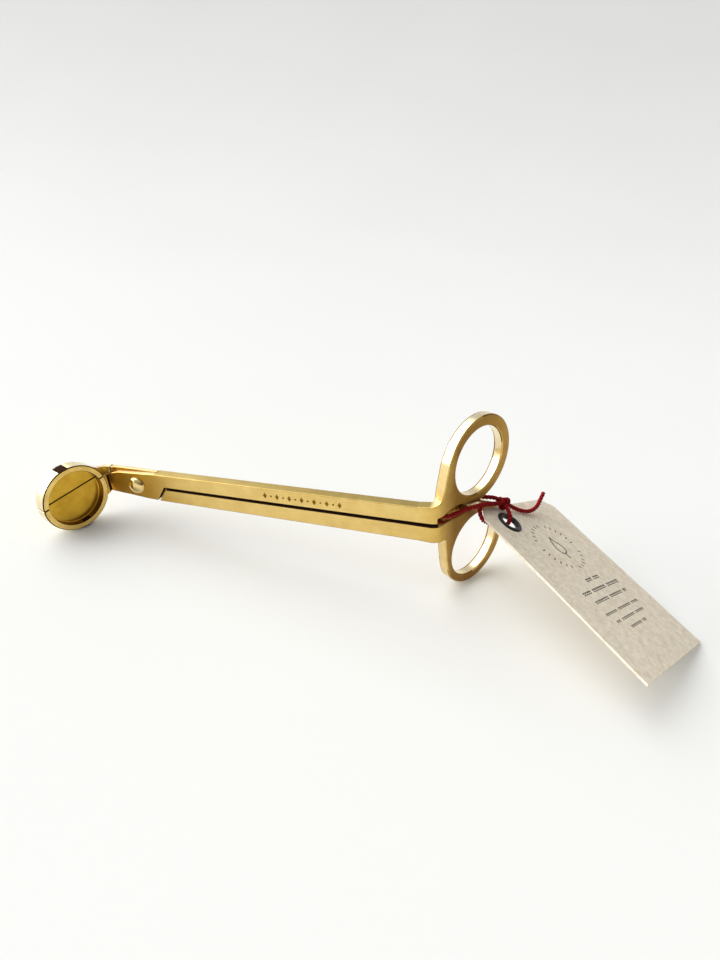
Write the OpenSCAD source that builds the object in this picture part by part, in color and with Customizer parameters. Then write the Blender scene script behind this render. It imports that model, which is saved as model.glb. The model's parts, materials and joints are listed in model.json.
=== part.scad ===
// Candle wick trimmer: two crossing brass levers with a split round pan at one end,
// two finger rings at the other, and a card swing tag tied on with a string.
// It stands on the pan rim and the lower finger ring. Units are millimetres.

/* [Pan] */
// outer radius of the round split pan
pan_radius = 14; // [10:0.5:18]
// inner radius of the pan rim
pan_inner_radius = 11.6; // [8:0.1:16]
// full height of the pan wall
pan_height = 6.3; // [4:0.1:9]
// depth of the tray half below the rim
tray_depth = 3.4; // [2:0.1:5]
// depth of the blade half below the rim
blade_depth = 2.4; // [1:0.1:4]
// angle of the pan to the shaft
pan_bend = 69; // [45:1:85]
// distance from the neck fold to the centre of the pan
pan_reach = 15.7; // [13:0.1:20]
// how far the rim stands in front of the neck plate
pan_proud = 1.9; // [0:0.1:3]
// clear gap between the two pan halves at the cut
cut_gap = 0.3; // [0.1:0.05:0.8]
// slope of the cut across the pan, in degrees
cut_slope = 8.5; // [0:0.5:20]
// height of the cut at the centre of the pan
cut_rise = 2.3; // [0:0.1:5]

/* [Shaft] */
// thickness of both levers
plate = 4.4; // [3:0.1:6]
// half height of the shaft at the pivot
half_height_pivot = 6.2; // [5:0.1:8]
// half height of the shaft where the handles bend
half_height_bend = 7.2; // [5:0.1:9]
// distance from the pivot to the neck fold
neck_fold = 14.3; // [12:0.1:20]
// distance from the pivot to the handle fold
handle_fold = 129.3; // [90:0.1:150]
// width of the slit between the two arms near the pivot
slit_near = 0.6; // [0.4:0.1:1.5]
// width of the slit between the two arms at the handle bend
slit_far = 1.1; // [0.4:0.1:2]
// axial gap between the two half-thickness laps
lap_gap = 0.1; // [0.05:0.01:0.3]

/* [Handles] */
// radius of the round finger holes
finger_radius = 13.8; // [10:0.1:16]
// outer radius of the finger rings
ring_radius = 17.4; // [13:0.1:22]
// distance from the handle fold to the ring centres
ring_reach = 22.7; // [18:0.1:30]
// distance of each ring centre from the mid line
ring_offset = 18.7; // [16:0.1:24]
// angle of the handles to the shaft
handle_bend = 60; // [40:1:80]

/* [Pivot] */
// radius of the rivet shank
shank_radius = 2.5; // [2:0.1:3.5]
// running gap round the shank in the moving lever
running_gap = 0.05; // [0.02:0.01:0.1]
// radius of the domed rivet head
head_radius = 3.7; // [3:0.1:5]
// height of the domed rivet head
head_height = 2.0; // [1:0.1:3]

/* [Tag] */
// width of the card tag
tag_width = 56; // [40:1:60]
// length of the card tag
tag_length = 83; // [60:1:100]
// thickness of the card tag
tag_thickness = 0.9; // [0.5:0.1:1.5]
// outer radius of the metal eyelet
eyelet_radius = 6.3; // [4:0.1:8]
// radius of the eyelet's hole
eyelet_hole = 3.9; // [2:0.1:5]

/* [String] */
// diameter of the tie string
string_diameter = 1.4; // [1:0.1:2]

/* [Hidden] */
$fn = 96;

// inner radius of the neck bend and of the handle bend
neck_ri = 0.6;
handle_ri = 1.0;
// bent strips are this much thinner on each face than the flat plates they join
bend_inset = 0.05;
// each lap takes half of the thickness, less half of the gap
lap = (plate - lap_gap) / 2;
// where the straight lap ends and the neck bend starts
neck_x = -neck_fold + neck_ri * tan(pan_bend / 2);
// where the straight arm ends and the handle bend starts
handle_x = handle_fold - (plate + handle_ri) * tan(handle_bend / 2);
handle_u = (plate + handle_ri) * tan(handle_bend / 2);
neck_u = neck_ri * tan(pan_bend / 2);
// front neck and rear neck edges, measured from the mid line
neck_low = -4.4;
neck_high = 3.2;
rear_low = 3.5;
rear_high = 6.0;
// foot and top of the slanted shoulder where the full-thickness arm begins
shoulder_foot = [9.8, -6.3];
shoulder_top = [14.0, 0];
shoulder_gap = 0.35;

// the shaft is tilted so that the pan's rear rim and the lower ring's rear rim both touch the ground
run = handle_fold + ring_reach * cos(handle_bend) - plate * sin(handle_bend)
  + neck_fold + pan_reach * cos(pan_bend) - pan_proud * sin(pan_bend) + pan_height * sin(pan_bend);
function slope(k) = k == 0 ? 0.13 : let (t = slope(k - 1))
  (ring_offset + ring_radius * sqrt(1 + pow(cos(handle_bend) * t, 2))
  - pan_radius * sqrt(1 + pow(cos(pan_bend) * t, 2))) / run;
tilt = atan(slope(6));

// pan centre and ring centres in the shaft's own axes: along, up, front
pan_x = -neck_fold - pan_reach * cos(pan_bend) + pan_proud * sin(pan_bend);
pan_n = pan_reach * sin(pan_bend) + pan_proud * cos(pan_bend);
ring_x = handle_fold + ring_reach * cos(handle_bend);
ring_n = -ring_reach * sin(handle_bend);

// extents of the standing tool, measured from the pivot on the front face
left = (pan_x - pan_height * sin(pan_bend)) * cos(tilt)
  - pan_radius * sqrt(pow(cos(pan_bend) * cos(tilt), 2) + pow(sin(tilt), 2));
right = ring_x * cos(tilt) + ring_offset * sin(tilt)
  + ring_radius * sqrt(pow(cos(handle_bend) * cos(tilt), 2) + pow(sin(tilt), 2));
front = pan_n + pan_radius * sin(pan_bend);
back = -ring_n + ring_radius * sin(handle_bend) + plate * cos(handle_bend);
low = (pan_x - pan_height * sin(pan_bend)) * sin(tilt)
  - pan_radius * sqrt(pow(cos(pan_bend) * sin(tilt), 2) + pow(cos(tilt), 2));
pivot_at = [-(left + right) / 2, (front - back) / 2, -low];

// the tag's near corner and its attitude
tag_at = [205.4, -29.1, 0];
tag_lean = 14;
tag_roll = 15.5;
tag_yaw = 59;
tag_lift = tag_width * sin(tag_roll) + 0.05;
eyelet_at = [13, tag_length - 9.2];
tag_clip = 5.5;

// centre of the knot in the tag's axes, and its radius
knot_at = [16, 82, 3.5];
knot_radius = 2.5;
// route of the loop round the handles, in the handle plane: away from the shaft, up, front
ring_route = [[33.9, -3.5, 3.2], [29.2, -1.9, 2.6], [24, -0.1, 2.3], [18, 0.9, 1.4], [12, 1.6, 0.7],
  [7.3, 1.9, 0.3], [5.1, 2.1, -0.6], [4.2, 2.3, -2.8], [5.1, 2.5, -5], [7.3, 2.6, -5.9], [13, 2, -6.3],
  [19, 1.2, -6.1], [24.8, 0.4, -5.3], [28, -0.5, -3.3], [30.3, -0.9, -1.2], [32.6, -1.5, 0.4],
  [34.7, -2.9, 1.6]];
// route of the loop round the card's corner and up through the eyelet, in the tag's axes
eyelet_route = [[13.7, 82.8, 2.5], [9.5, 83.4, 2.2], [5.2, 83.6, 2.1], [2.3, 82.7, 1.5], [1.4, 80.9, 0.1],
  [2.6, 79.2, -1.4], [5.2, 78.2, -2.2], [8.2, 77.1, -2.6], [10.4, 75.8, -2.6], [12, 74.6, -1.7],
  [12.8, 74.1, 0.2], [13.1, 74.8, 2.3], [13.8, 76.7, 3.3], [15.3, 79.5, 3.6]];
// route of the free end across the card, in the tag's axes
free_route = [[18.4, 81.2, 3.2], [21.5, 79.4, 2.5], [25, 77.9, 2], [28.4, 76.6, 2.1], [32.5, 76.3, 2.6],
  [36.2, 77, 3.9], [39, 78.6, 5.9], [40.8, 80, 8.6]];

// stand the shaft axes (along, up, front) on the ground
module stand() {
  translate(pivot_at) rotate([0, -tilt, 0]) rotate([90, 0, 0]) children();
}

// plane of the pan: x runs back towards the shaft, y up, z out of the pan's mouth
module pan_plane() {
  translate([-neck_fold, 0, 0]) rotate([0, pan_bend, 0]) children();
}

// plane of the handles: x runs away from the shaft, y up, z to the front
module handle_plane() {
  translate([handle_fold, 0, 0]) rotate([0, handle_bend, 0]) children();
}

// a bent strip of the neck, between two radii and two heights;
// its far end runs a little way into the pan's plate
module neck_bend(r0, r1, y0, y1) {
  translate([neck_x, 0, neck_ri]) rotate([-90, 90, 0]) rotate_extrude(angle = pan_bend + 3)
    translate([r0 + bend_inset, y0 + bend_inset])
      square([r1 - r0 - 2 * bend_inset, y1 - y0 - 2 * bend_inset]);
}

// a bent strip of a handle, from one angle to another, between two heights, thinned by an inset on each face
module handle_curve(a0, a1, y0, y1, inset) {
  translate([handle_x, 0, -plate - handle_ri]) rotate([-90, -90, 0]) rotate([0, 0, a0])
    rotate_extrude(angle = a1 - a0) translate([handle_ri + inset, y0]) square([plate - 2 * inset, y1 - y0]);
}

// outline of an arm above the mid line, from the shoulder to the handle bend
module arm_outline() {
  polygon([
    [shoulder_foot[0], half_height_pivot + 0.05],
    [shoulder_top[0], slit_near / 2],
    [handle_x - 12, slit_near / 2 + 0.05],
    [handle_x, slit_far / 2],
    [handle_x, half_height_bend + 1.6],
    [handle_x - 2.2, half_height_bend + 0.6],
    [handle_x - 5, half_height_bend]
  ]);
}

// outline of the front lap, below and to the left of the shoulder
module front_lap_outline() {
  polygon([
    [neck_x, neck_low],
    [-5, -5.1],
    [4.5, -6.0],
    [shoulder_foot[0] - 0.55, -half_height_pivot + 0.05],
    [shoulder_top[0] - 0.42, 0.2],
    [shoulder_top[0] + 2, slit_near / 2],
    [shoulder_top[0] + 2, 6],
    [9, half_height_pivot + 0.04],
    [6, 5.9],
    [-9, 5.2],
    [-11.8, 4.4],
    [neck_x, neck_high]
  ]);
}

// outline of the rear lap, hidden behind the front one except for its top edge
module rear_lap_outline() {
  polygon([
    [neck_x, rear_low],
    [-11, -1.5],
    [-7, -4.2],
    [2, -5.6],
    [9, -half_height_pivot - 0.04],
    [shoulder_top[0] + 2, -6],
    [shoulder_top[0] + 2, -slit_near / 2],
    [shoulder_top[0] - 0.42, -0.2],
    [shoulder_foot[0] - 0.55, half_height_pivot - 0.05],
    [0, 6.15],
    [-9, rear_high + 0.1],
    [neck_x, rear_high]
  ]);
}

// ring with its web, above the mid line; the lower edge of the web leaves room for the string
module upper_handle_outline() {
  difference() {
    union() {
      translate([ring_reach, ring_offset]) circle(ring_radius);
      polygon([[handle_u, 5.9], [7, 5.4], [12.5, 4.2], [16, 12], [9, 24], [5.6, 23], [4.4, 20.5],
        [3.5, 17], [handle_u, 13]]);
    }
    translate([ring_reach, ring_offset]) circle(finger_radius);
  }
}

// ring with its web, below the mid line
module lower_handle_outline() {
  difference() {
    union() {
      translate([ring_reach, -ring_offset]) circle(ring_radius);
      polygon([[handle_u, -0.5], [10, -0.5], [22.7, -1.4], [16, -12], [9, -24], [5.6, -23], [4.4, -20.5],
        [3.5, -17], [handle_u, -13]]);
    }
    translate([ring_reach, -ring_offset]) circle(finger_radius);
  }
}

// everything under the cut line across the pan, lowered by a distance
module under_cut(d) {
  t = tan(cut_slope);
  polygon([[-30, cut_rise - 30 * t - d], [30, cut_rise + 30 * t - d], [30, -30], [-30, -30]]);
}

// everything above the cut line across the pan, raised by a distance
module over_cut(d) {
  t = tan(cut_slope);
  polygon([[-30, cut_rise - 30 * t + d], [-30, 30], [30, 30], [30, cut_rise + 30 * t + d]]);
}

// the pivot hole for the rivet
module pivot_hole(r) {
  translate([0, 0, -plate - 1]) cylinder(r = r, h = plate + 2);
}

// lower arm with the rear lap; it runs on into the lower ring, in one casting
module lower_arm() {
  color([0.80, 0.62, 0.28]) stand() difference() {
    union() {
      translate([0, 0, -plate]) linear_extrude(lap) union() {
        rear_lap_outline();
        mirror([0, 1, 0]) arm_outline();
      }
      translate([0, 0, -plate + lap]) linear_extrude(plate - lap) mirror([0, 1, 0]) arm_outline();
    }
    pivot_hole(shank_radius);
  }
}

// bend and lower finger ring, meeting the lower arm face to face
module lower_ring() {
  color([0.80, 0.62, 0.28]) stand() union() {
    handle_curve(0, handle_bend + 2, -half_height_bend - 1.4, -slit_far / 2 - 0.05, bend_inset);
    handle_curve(18, handle_bend + 3, -half_height_bend - 3.2, -half_height_bend, 2 * bend_inset);
    handle_plane() translate([0, 0, -plate]) linear_extrude(plate) lower_handle_outline();
  }
}

// upper arm with the front lap; it runs on into the upper ring, in one casting
module upper_arm() {
  color([0.83, 0.66, 0.32]) stand() difference() {
    union() {
      translate([0, 0, -lap]) linear_extrude(lap) union() {
        front_lap_outline();
        arm_outline();
      }
      translate([0, 0, -plate]) linear_extrude(plate - lap) arm_outline();
    }
    pivot_hole(shank_radius + running_gap);
  }
}

// bend and upper finger ring, meeting the upper arm face to face
module upper_ring() {
  color([0.83, 0.66, 0.32]) stand() union() {
    handle_curve(0, handle_bend + 2, 5.95, half_height_bend + 1.4, bend_inset);
    handle_curve(0, handle_bend / 2, slit_far / 2 + 0.05, 6.5, 2 * bend_inset);
    handle_curve(18, handle_bend + 3, half_height_bend, half_height_bend + 3.2, 2 * bend_inset);
    handle_plane() translate([0, 0, -plate]) linear_extrude(plate) upper_handle_outline();
  }
}

// shallow upper half of the pan, brazed to the rear lap
module blade_half_pan() {
  color([0.80, 0.63, 0.30]) stand() {
    union() {
      neck_bend(neck_ri + plate - lap, neck_ri + plate, rear_low, rear_high);
      pan_plane() difference() {
        union() {
          translate([-pan_reach, 0, pan_proud - pan_height]) linear_extrude(pan_height)
            intersection() {
              circle(pan_radius);
              over_cut(cut_gap / 2);
            }
          translate([0, 0, -plate]) linear_extrude(lap)
            polygon([[-neck_u, rear_low], [-1.5, rear_low], [-1.9, 4.75], [-4.5, 4.75], [-6, 9.5],
              [-4.5, 8.6], [-2.2, 6.8], [-neck_u, rear_high]]);
        }
        translate([-pan_reach, 0, pan_proud - blade_depth])
          cylinder(r = pan_inner_radius, h = blade_depth + 1);
      }
    }
  }
}

// deep lower half of the pan, brazed to the front lap
module tray_half_pan() {
  color([0.77, 0.58, 0.24]) stand() {
    union() {
      neck_bend(neck_ri, neck_ri + lap, neck_low, neck_high);
      pan_plane() difference() {
        union() {
          translate([-pan_reach, 0, pan_proud - pan_height]) linear_extrude(pan_height)
            intersection() {
              circle(pan_radius);
              under_cut(cut_gap / 2);
            }
          translate([0, 0, -lap]) linear_extrude(lap)
            polygon([[-neck_u, neck_low], [-neck_u, neck_high], [-2.4, 3.6], [-6, 3.4], [-6, -9],
              [-4.6, -8.4], [-2.4, -6.2]]);
        }
        translate([-pan_reach, 0, pan_proud - tray_depth]) cylinder(r = pan_inner_radius, h = tray_depth + 1);
      }
    }
  }
}

// domed rivet with a low peened tail at the back
module pivot_rivet() {
  dome = (pow(head_radius, 2) + pow(head_height - 0.4, 2)) / (2 * (head_height - 0.4));
  color([0.86, 0.70, 0.38]) stand() {
    union() {
      translate([0, 0, -plate - 0.4]) cylinder(r = shank_radius, h = plate + 0.8);
      translate([0, 0, 0.05]) cylinder(r = head_radius, h = 0.36);
      translate([0, 0, 0.4]) intersection() {
        translate([0, 0, head_height - 0.4 - dome]) sphere(dome);
        cylinder(r = head_radius + 1, h = head_height);
      }
      translate([0, 0, -plate - 0.7]) cylinder(r = 3.4, h = 0.7);
    }
  }
}

// the tag's own axes: x across, y along towards the eyelet, z out of its printed face
module tag_frame() {
  translate([pivot_at[0] + tag_at[0], pivot_at[1] + tag_at[1], tag_lift])
    rotate([tag_lean, tag_roll, tag_yaw])
      children();
}

// card swing tag with clipped top corners
module tag_card() {
  color([0.80, 0.75, 0.66]) tag_frame() difference() {
    linear_extrude(tag_thickness)
      polygon([[0, 0], [tag_width, 0], [tag_width, tag_length - tag_clip], [tag_width - tag_clip, tag_length],
        [tag_clip, tag_length], [0, tag_length - tag_clip]]);
    translate([eyelet_at[0], eyelet_at[1], -1]) cylinder(r = eyelet_hole + 0.7, h = tag_thickness + 2);
  }
}

// dark metal eyelet, flanged on the front and rolled over at the back
module tag_eyelet() {
  color([0.09, 0.08, 0.08]) tag_frame() translate([eyelet_at[0], eyelet_at[1], 0]) difference() {
    union() {
      translate([0, 0, -0.5]) cylinder(r = eyelet_hole + 0.7, h = tag_thickness + 1);
      translate([0, 0, tag_thickness]) cylinder(r = eyelet_radius, h = 0.6);
      translate([0, 0, -0.5]) cylinder(r = eyelet_radius - 0.8, h = 0.5);
    }
    translate([0, 0, -2]) cylinder(r = eyelet_hole, h = tag_thickness + 4);
  }
}

// smooth curve through four neighbouring route points
function blend(a, b, c, d, t) = 0.5 * (2 * b + (c - a) * t + (2 * a - 5 * b + 4 * c - d) * t * t
  + (3 * b - a - 3 * c + d) * t * t * t);
function route_at(r, i, t) = blend(r[max(i - 1, 0)], r[i], r[i + 1], r[min(i + 2, len(r) - 1)], t);
function walk(r, n) = [for (i = [0 : len(r) - 2]) for (k = [0 : n - 1]) route_at(r, i, k / n), r[len(r) - 1]];
function unit(v) = v / norm(v);
function heading(p, i) = unit(p[min(i + 1, len(p) - 1)] - p[max(i - 1, 0)]);

// round tube swept along a route; the side vector only sets how the facets are turned
module tube(route, per_span, side) {
  pts = walk(route, per_span);
  n = len(pts);
  sides = 8;
  ring_points = [for (i = [0 : n - 1])
    let (h = heading(pts, i), a = unit(cross(side, h)), b = cross(h, a))
    for (k = [0 : sides - 1])
      pts[i] + string_diameter / 2 * (cos(360 * k / sides) * a + sin(360 * k / sides) * b)];
  walls = [for (i = [0 : n - 2]) for (k = [0 : sides - 1])
    let (a = i * sides + k, b = i * sides + (k + 1) % sides)
    [a, a + sides, b + sides, b]];
  caps = [[for (k = [0 : sides - 1]) k], [for (k = [sides - 1 : -1 : 0]) (n - 1) * sides + k]];
  polyhedron(points = ring_points, faces = concat(walls, caps), convexity = 6);
}

// loop of string from the knot, through the gap between the handles and back
module string_ring_loop() {
  color([0.62, 0.05, 0.08]) stand() handle_plane() tube(ring_route, 2, [0, 1, 0]);
}

// loop of string from the knot, round the card's corner and up through the eyelet
module string_eyelet_loop() {
  color([0.62, 0.05, 0.08]) tag_frame() tube(eyelet_route, 2, [0, 0.857, -0.514]);
}

// loose end of the string
module string_free_end() {
  color([0.62, 0.05, 0.08]) tag_frame() tube(free_route, 2, [0, 0, 1]);
}

// the knot that closes the string
module string_knot() {
  color([0.58, 0.04, 0.07]) tag_frame() translate(knot_at) sphere(knot_radius);
}

lower_arm();
lower_ring();
upper_arm();
upper_ring();
blade_half_pan();
tray_half_pan();
pivot_rivet();
tag_card();
tag_eyelet();
string_ring_loop();
string_eyelet_loop();
string_free_end();
string_knot();
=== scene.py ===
"""Brass candle wick trimmer: crossing levers, split pan, finger rings and a swing tag on a red string."""
import json
from contextlib import contextmanager
from math import atan2, ceil, cos, hypot, pi, radians, sin, sqrt, tan, tau

import bmesh
import bpy
from mathutils import Matrix, Vector, noise


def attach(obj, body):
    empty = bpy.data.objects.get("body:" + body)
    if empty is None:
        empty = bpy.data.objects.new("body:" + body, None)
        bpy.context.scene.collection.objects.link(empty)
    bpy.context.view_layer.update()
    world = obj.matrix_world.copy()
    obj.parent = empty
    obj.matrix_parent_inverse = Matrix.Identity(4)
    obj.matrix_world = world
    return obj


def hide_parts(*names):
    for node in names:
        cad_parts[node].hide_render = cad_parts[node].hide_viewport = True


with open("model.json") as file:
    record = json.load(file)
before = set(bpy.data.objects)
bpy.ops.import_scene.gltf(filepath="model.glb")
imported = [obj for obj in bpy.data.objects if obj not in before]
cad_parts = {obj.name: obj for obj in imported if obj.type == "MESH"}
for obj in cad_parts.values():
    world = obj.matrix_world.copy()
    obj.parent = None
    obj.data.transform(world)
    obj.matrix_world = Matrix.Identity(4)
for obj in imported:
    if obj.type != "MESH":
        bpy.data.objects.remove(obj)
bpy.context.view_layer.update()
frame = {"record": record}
record = frame["record"]

# ---------------------------------------------------------------------------------------------
# The tool's own axes and sizes. Lengths are in millimetres, and MM turns them into metres.
# ---------------------------------------------------------------------------------------------
MM = 0.001
joint = record["behaviour"]["joints"][0]
PIVOT = Vector(joint["pos_m"])
RING_AXIS = Vector(record["mounts"][0]["axis"])
FINGER_RADIUS = record["mounts"][0]["dims"]["r_mm"]
TILT = atan2(RING_AXIS.z, RING_AXIS.x)
ALONG = Vector((cos(TILT), 0, sin(TILT)))
UP = Vector((-sin(TILT), 0, cos(TILT)))
FRONT = Vector((0, -1, 0))

PLATE = 4.4
LAP = 2.15
HANDLE_FOLD = 129.3
HANDLE_BEND = radians(60)
HANDLE_INNER = 1.0
NECK_FOLD = 14.3
PAN_BEND = radians(69)
NECK_INNER = 0.6
RING_REACH = 22.7
RING_OFFSET = 18.7
RING_RADIUS = 17.4
PAN_REACH = 15.7
PAN_RADIUS = 14.0
PAN_INNER = 11.6
PAN_HEIGHT = 6.3
PAN_PROUD = 1.9
CUT_SLOPE = tan(radians(8.5))
CUT_RISE = 2.3
TAG_WIDTH = 56.0
TAG_LENGTH = 83.0
TAG_THICKNESS = 0.9
TAG_HEADING = radians(59)
TAG_LEAN = radians(15.5)
TAG_ROLL = radians(14)
CARD_CLIP = 5.5
CARD_COLUMNS = 20
CARD_ROWS = 26
PRINT_CENTRE = (28, 57.5)
PRINT_RING = 11.5
PRINT_DASHES = 28
PRINT_STEP = 1.55
EYELET_AT = (13.0, 73.8)
EYELET_RADIUS = 5.4
EYELET_HOLE = 3.3
KNOT_AT = (16, 82, 3.5)
STRING_CREST = 0.92
STRING_LAY = 4.4
STRING_STEP = 0.2
KNOT_CREST = 0.9
KNOT_SCALE = 0.74
KNOT_POINTS = 120
ROOM_DARK = 0.06
ROOM_PALE = 0.66
HIGH_WINDOW = 2.4
LOW_WINDOW = 4.2
MARK_DEPTH = 0.3
MARK_COUNT = 13
MARKS_START = 60.0
MARKS_STEP = 2.6
MARKS_HEIGHT = 3.55
PIVOT_HOLE = 2.5
PAN_STEPS = 128
BEND_STEPS = 12
WEB_DRAFTS = [(0, 0), (1, 1.2), (5, 2.2), (9, 3.0), (13, 3.1), (18, 1.3), (20, 0)]
CUT_GAP = 0.27
SEAM = 0.45
CAMERA_PLACE = Vector((143.68, -187.32, 149.84))
CAMERA_HEADING = radians(14.07)
CAMERA_DROP = radians(31.94)
CAMERA_ROLL = radians(6.29)
CAMERA_LENS = 23.25
SENSOR_WIDTH = 36

# Where the bends start and end on the straight lever, and where the handles' plane starts on the flat
# pattern. The shear cut and the necks are set out from the same bends.
HANDLE_U = (PLATE + HANDLE_INNER) * tan(HANDLE_BEND / 2)
HANDLE_START = HANDLE_FOLD - HANDLE_U
HANDLE_ARC = (HANDLE_INNER + PLATE / 2) * HANDLE_BEND
HANDLE_FLAT = HANDLE_START + HANDLE_ARC - HANDLE_U
HANDLE_STEP = HANDLE_START + HANDLE_ARC / 2
NECK_U = NECK_INNER * tan(PAN_BEND / 2)
NECK_START = -NECK_FOLD + NECK_U
NECK_ARC = (NECK_INNER + PLATE / 2) * PAN_BEND
NECK_END = NECK_START - NECK_ARC


def shaft(x, y, z):
    """A point from the shaft's axes: along, up and front of the levers' front face."""
    return PIVOT + (ALONG * x + UP * y + FRONT * z) * MM


def handle_plane(u, v, w):
    """A point from the handles' plane: away from the shaft, up, and out of the front face."""
    away = ALONG * cos(HANDLE_BEND) - FRONT * sin(HANDLE_BEND)
    out = ALONG * sin(HANDLE_BEND) + FRONT * cos(HANDLE_BEND)
    return shaft(HANDLE_FOLD, 0, 0) + (away * u + UP * v + out * w) * MM


def pan_plane(u, v, w):
    """A point from the pan's plane: away from the neck, up, and out of the pan's mouth."""
    away = FRONT * sin(PAN_BEND) - ALONG * cos(PAN_BEND)
    out = FRONT * cos(PAN_BEND) + ALONG * sin(PAN_BEND)
    return shaft(-NECK_FOLD, 0, 0) + (away * u + UP * v + out * w) * MM


TAG_TURN = (
    Matrix.Rotation(TAG_HEADING, 3, "Z")
    @ Matrix.Rotation(TAG_LEAN, 3, "Y")
    @ Matrix.Rotation(TAG_ROLL, 3, "X")
)
TAG_HEIGHT = TAG_WIDTH * sin(TAG_LEAN) + 0.05
TAG_CORNER = Vector((PIVOT.x + 205.4 * MM, PIVOT.y - 29.1 * MM, TAG_HEIGHT * MM))


def tag_plane(x, y, z):
    """A point from the tag's axes: across, towards the eyelet, and out of the printed face."""
    return TAG_CORNER + TAG_TURN @ Vector((x, y, z)) * MM


def flat_lever(s, y, z):
    """A point of the flat lever pattern, carried round the handle bend."""
    if s <= HANDLE_START:
        return shaft(s, y, z)
    radius = HANDLE_INNER + PLATE + z
    centre = -PLATE - HANDLE_INNER
    if s < HANDLE_START + HANDLE_ARC:
        turn = (s - HANDLE_START) / HANDLE_ARC * HANDLE_BEND
        return shaft(HANDLE_START + radius * sin(turn), y, centre + radius * cos(turn))
    return handle_plane(s - HANDLE_FLAT, y, z)


# ---------------------------------------------------------------------------------------------
# Camera
# ---------------------------------------------------------------------------------------------
def make_camera():
    """The view from above and to the left of the pan."""
    camera = bpy.data.objects.new("camera", bpy.data.cameras.new("camera"))
    bpy.context.scene.collection.objects.link(camera)
    camera.data.lens = CAMERA_LENS
    camera.data.sensor_width = SENSOR_WIDTH
    camera.data.clip_start = 0.01
    camera.data.clip_end = 20
    heading = Matrix.Rotation(CAMERA_HEADING, 4, "Z")
    drop = Matrix.Rotation(pi / 2 - CAMERA_DROP, 4, "X")
    roll = Matrix.Rotation(CAMERA_ROLL, 4, "Z")
    place = Matrix.Translation(PIVOT + CAMERA_PLACE * MM)
    camera.matrix_world = place @ (heading @ drop @ roll)
    bpy.context.scene.camera = camera


make_camera()


# ---------------------------------------------------------------------------------------------
# Mesh helpers
# ---------------------------------------------------------------------------------------------
def mesh_object(name, points, faces):
    """A linked object from points in any unit; the mesh keeps them as they are."""
    mesh = bpy.data.meshes.new(name)
    mesh.from_pydata([tuple(p) for p in points], [], faces)
    obj = bpy.data.objects.new(name, mesh)
    bpy.context.scene.collection.objects.link(obj)
    return obj


@contextmanager
def editing(obj):
    """The object's mesh, open for editing."""
    bm = bmesh.new()
    bm.from_mesh(obj.data)
    yield bm
    bm.to_mesh(obj.data)
    bm.free()


def turn_out(obj):
    """Makes every face of a closed mesh look outwards."""
    with editing(obj) as bm:
        bmesh.ops.recalc_face_normals(bm, faces=bm.faces)


def rounded(corners):
    """A polygon with corners (x, y, radius) rounded by arcs; without a radius they stay sharp."""
    out = []
    count = len(corners)
    for i, corner in enumerate(corners):
        here = Vector(corner[:2])
        if len(corner) < 3:
            out.append(here)
            continue
        before = (Vector(corners[i - 1][:2]) - here).normalized()
        after = (Vector(corners[(i + 1) % count][:2]) - here).normalized()
        half = before.angle(after) / 2
        centre = here + (before + after).normalized() * corner[2] / sin(half)
        start = here + before * corner[2] / tan(half) - centre
        end = here + after * corner[2] / tan(half) - centre
        sweep = (atan2(end.y, end.x) - atan2(start.y, start.x) + pi) % tau - pi
        steps = max(2, ceil(abs(sweep) / radians(9)))
        for k in range(steps + 1):
            turn = sweep * k / steps
            out.append(centre + Matrix.Rotation(turn, 2) @ start)
    return out


def arc(x, y, radius, start, end, step=3):
    """Points of an arc about (x, y), between two angles in degrees."""
    count = max(2, ceil(abs(end - start) / step))
    angles = [radians(start + (end - start) * k / count) for k in range(count + 1)]
    return [(x + radius * cos(a), y + radius * sin(a)) for a in angles]


def prism(name, outline, low, high):
    """A closed slab between two heights."""
    n = len(outline)
    area = sum(a[0] * b[1] - b[0] * a[1] for a, b in zip(outline, [*outline[1:], outline[0]]))
    outline = outline if area > 0 else outline[::-1]
    points = [(*p[:2], low) for p in outline] + [(*p[:2], high) for p in outline]
    faces = [list(range(n))[::-1], list(range(n, 2 * n))]
    faces += [[i, (i + 1) % n, n + (i + 1) % n, n + i] for i in range(n)]
    return mesh_object(name, points, faces)


def bake_modifiers(obj):
    """Replaces the object's mesh by what its modifiers make of it."""
    graph = bpy.context.evaluated_depsgraph_get()
    mesh = bpy.data.meshes.new_from_object(obj.evaluated_get(graph))
    obj.modifiers.clear()
    obj.data = mesh


def combine(obj, other, operation):
    """Boolean of two closed meshes; the other one is used up."""
    modifier = obj.modifiers.new(operation, "BOOLEAN")
    modifier.operation = operation
    modifier.solver = "EXACT"
    modifier.object = other
    bake_modifiers(obj)
    bpy.data.objects.remove(other)


def join(name, objects):
    """One object from several meshes."""
    bm = bmesh.new()
    for obj in objects:
        bm.from_mesh(obj.data)
        bpy.data.objects.remove(obj)
    mesh = bpy.data.meshes.new(name)
    bm.to_mesh(mesh)
    bm.free()
    joined = bpy.data.objects.new(name, mesh)
    bpy.context.scene.collection.objects.link(joined)
    return joined


def soften(obj, width, weight=None, steps=3, sharp=35):
    """Rounds every edge sharper than an angle; weight(point) scales the width along the piece."""
    with editing(obj) as bm:
        bmesh.ops.remove_doubles(bm, verts=bm.verts, dist=0.004)
        bmesh.ops.dissolve_limit(bm, angle_limit=radians(0.5), verts=bm.verts, edges=bm.edges)
        layers = bm.edges.layers.float
        layer = layers.get("bevel_weight_edge") or layers.new("bevel_weight_edge")
        for edge in bm.edges:
            if len(edge.link_faces) == 2 and edge.calc_face_angle(0) > radians(sharp):
                middle = (edge.verts[0].co + edge.verts[1].co) / 2
                edge[layer] = weight(middle) if weight else 1.0
    modifier = obj.modifiers.new("rounding", "BEVEL")
    modifier.width = width
    modifier.segments = steps
    modifier.limit_method = "WEIGHT"
    modifier.use_clamp_overlap = False
    bake_modifiers(obj)


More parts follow.
